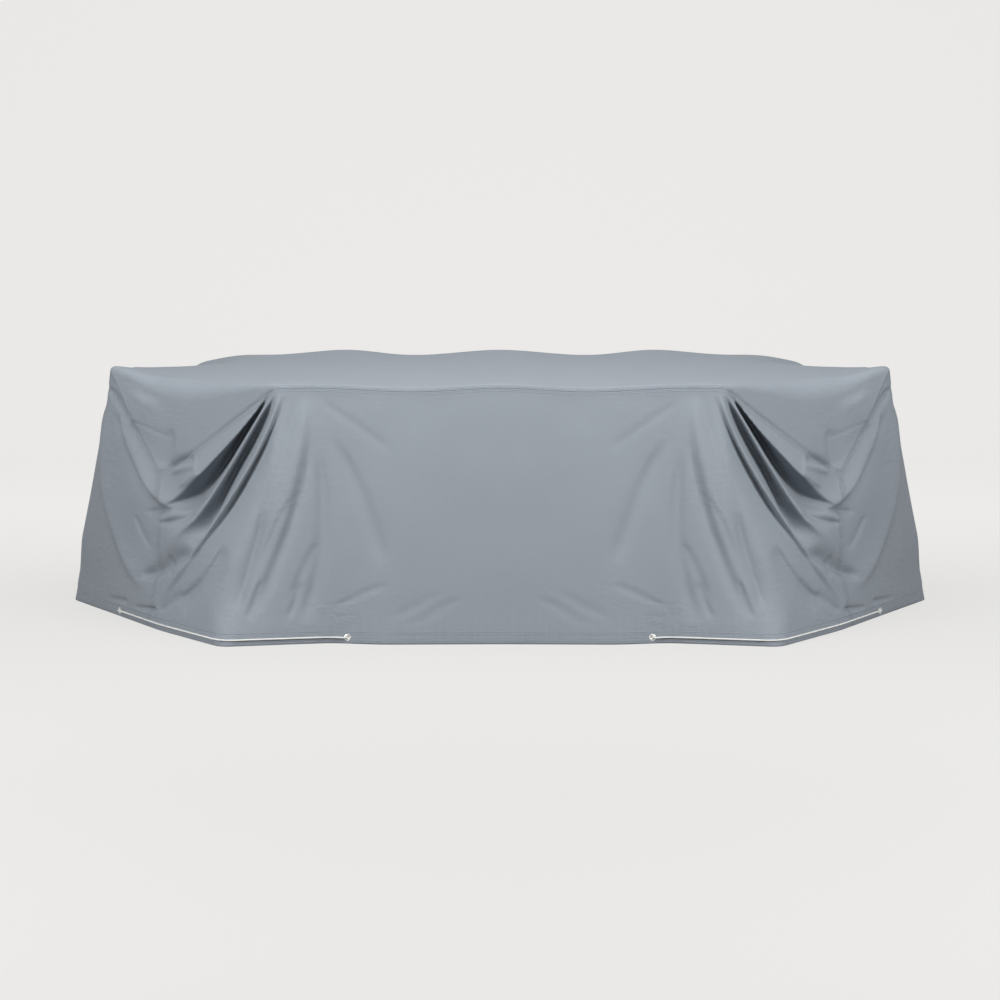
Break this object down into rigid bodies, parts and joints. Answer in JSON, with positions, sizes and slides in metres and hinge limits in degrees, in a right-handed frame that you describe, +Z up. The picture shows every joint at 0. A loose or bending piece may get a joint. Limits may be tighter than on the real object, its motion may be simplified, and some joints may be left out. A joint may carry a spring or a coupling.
{
  "type": "patio furniture cover",
  "caption": "Boxy fabric cover draped over a garden table and chairs, corners hanging as flaps, with eyelets and a drawcord in the hem.",
  "frame": {"origin": "on the ground below the middle of the hem", "axes": "+X to the cover's right as seen from the front, +Y to its back, +Z up"},
  "size_m": [2.832, 1.6901, 0.8008],
  "materials": {
    "cover_cloth": "matt coated weave",
    "eyelet_metal": "satin",
    "drawcord": "braided"
  },
  "bodies": {
    "root": {"top_panel": "cover_cloth", "front_panel": "cover_cloth", "back_panel": "cover_cloth", "left_end_panel": "cover_cloth", "right_end_panel": "cover_cloth", "front_left_eyelet": "eyelet_metal", "front_right_eyelet": "eyelet_metal", "left_end_eyelet": "eyelet_metal", "right_end_eyelet": "eyelet_metal", "left_cord": "drawcord", "right_cord": "drawcord"}
  },
  "joints": []
}
